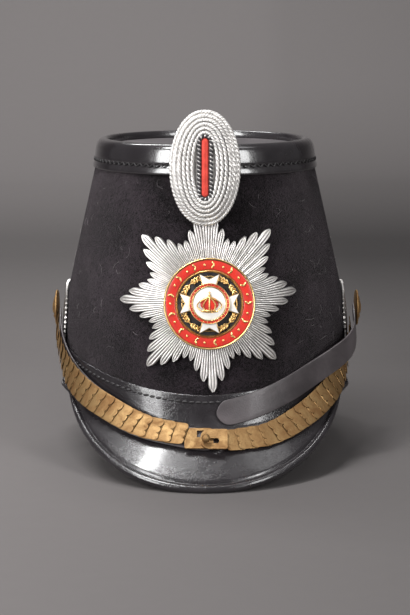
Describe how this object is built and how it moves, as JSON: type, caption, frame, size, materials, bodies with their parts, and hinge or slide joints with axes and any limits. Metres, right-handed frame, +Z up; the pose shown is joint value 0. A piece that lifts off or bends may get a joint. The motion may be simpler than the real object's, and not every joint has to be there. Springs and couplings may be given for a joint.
{
  "type": "shako hat",
  "caption": "Tall tapered felt shako with leather crown band and peaks, an oval field badge, a ray star with an enamelled centre, and brass chin scales over the front peak.",
  "frame": {"origin": "middle of the bounding box, on the surface that the two peaks stand on", "axes": "+Z up, the front faces -Y, +X is to the right as seen from the front"},
  "size_m": [0.191, 0.26, 0.2054],
  "materials": {
    "felt": "matt black wool felt",
    "leather": "polished black leather",
    "strap_leather": "worn black leather",
    "brass": "worn brass",
    "black_enamel": "black paint and enamel",
    "silver": "struck silver-coloured metal",
    "gilt": "gilt metal",
    "red_enamel": "red enamel",
    "white_enamel": "white enamel",
    "silver_wire": "wound silver wire",
    "twisted_cord": "black and silver twisted cord",
    "red_thread": "red wool"
  },
  "bodies": {
    "root": {"felt_body": "felt", "crown_band": "leather", "crown_disc": "leather", "front_peak": "leather", "rear_peak": "leather", "strap_left": "strap_leather", "strap_right": "strap_leather", "clasp_button": "brass", "clasp_eye": "brass", "rosette_left": "brass", "rosette_right": "brass", "scale_left_01": "brass", "scale_left_02": "brass", "scale_left_03": "brass", "scale_left_04": "brass", "scale_left_05": "brass", "scale_left_06": "brass", "scale_left_07": "brass", "scale_left_08": "brass", "scale_left_09": "brass", "scale_left_10": "brass", "scale_left_11": "brass", "scale_left_12": "brass", "scale_left_13": "brass", "scale_left_14": "brass", "scale_left_15": "brass", "scale_right_01": "brass", "scale_right_02": "brass", "scale_right_03": "brass", "scale_right_04": "brass", "scale_right_05": "brass", "scale_right_06": "brass", "scale_right_07": "brass", "scale_right_08": "brass", "scale_right_09": "brass", "scale_right_10": "brass", "scale_right_11": "brass", "scale_right_12": "brass", "scale_right_13": "brass", "scale_right_14": "brass", "scale_right_15": "brass", "cockade_left": "black_enamel", "cockade_right": "black_enamel", "black_field": "black_enamel", "cockade_ring_left": "silver", "cockade_ring_right": "silver", "star_plate": "silver", "star_base": "gilt", "wreath": "gilt", "crown_relief": "gilt", "red_ring": "red_enamel", "medallion_ring": "red_enamel", "cross": "white_enamel", "medallion": "white_enamel", "badge_body": "silver_wire", "badge_cord": "twisted_cord", "badge_core": "red_thread"}
  },
  "joints": []
}
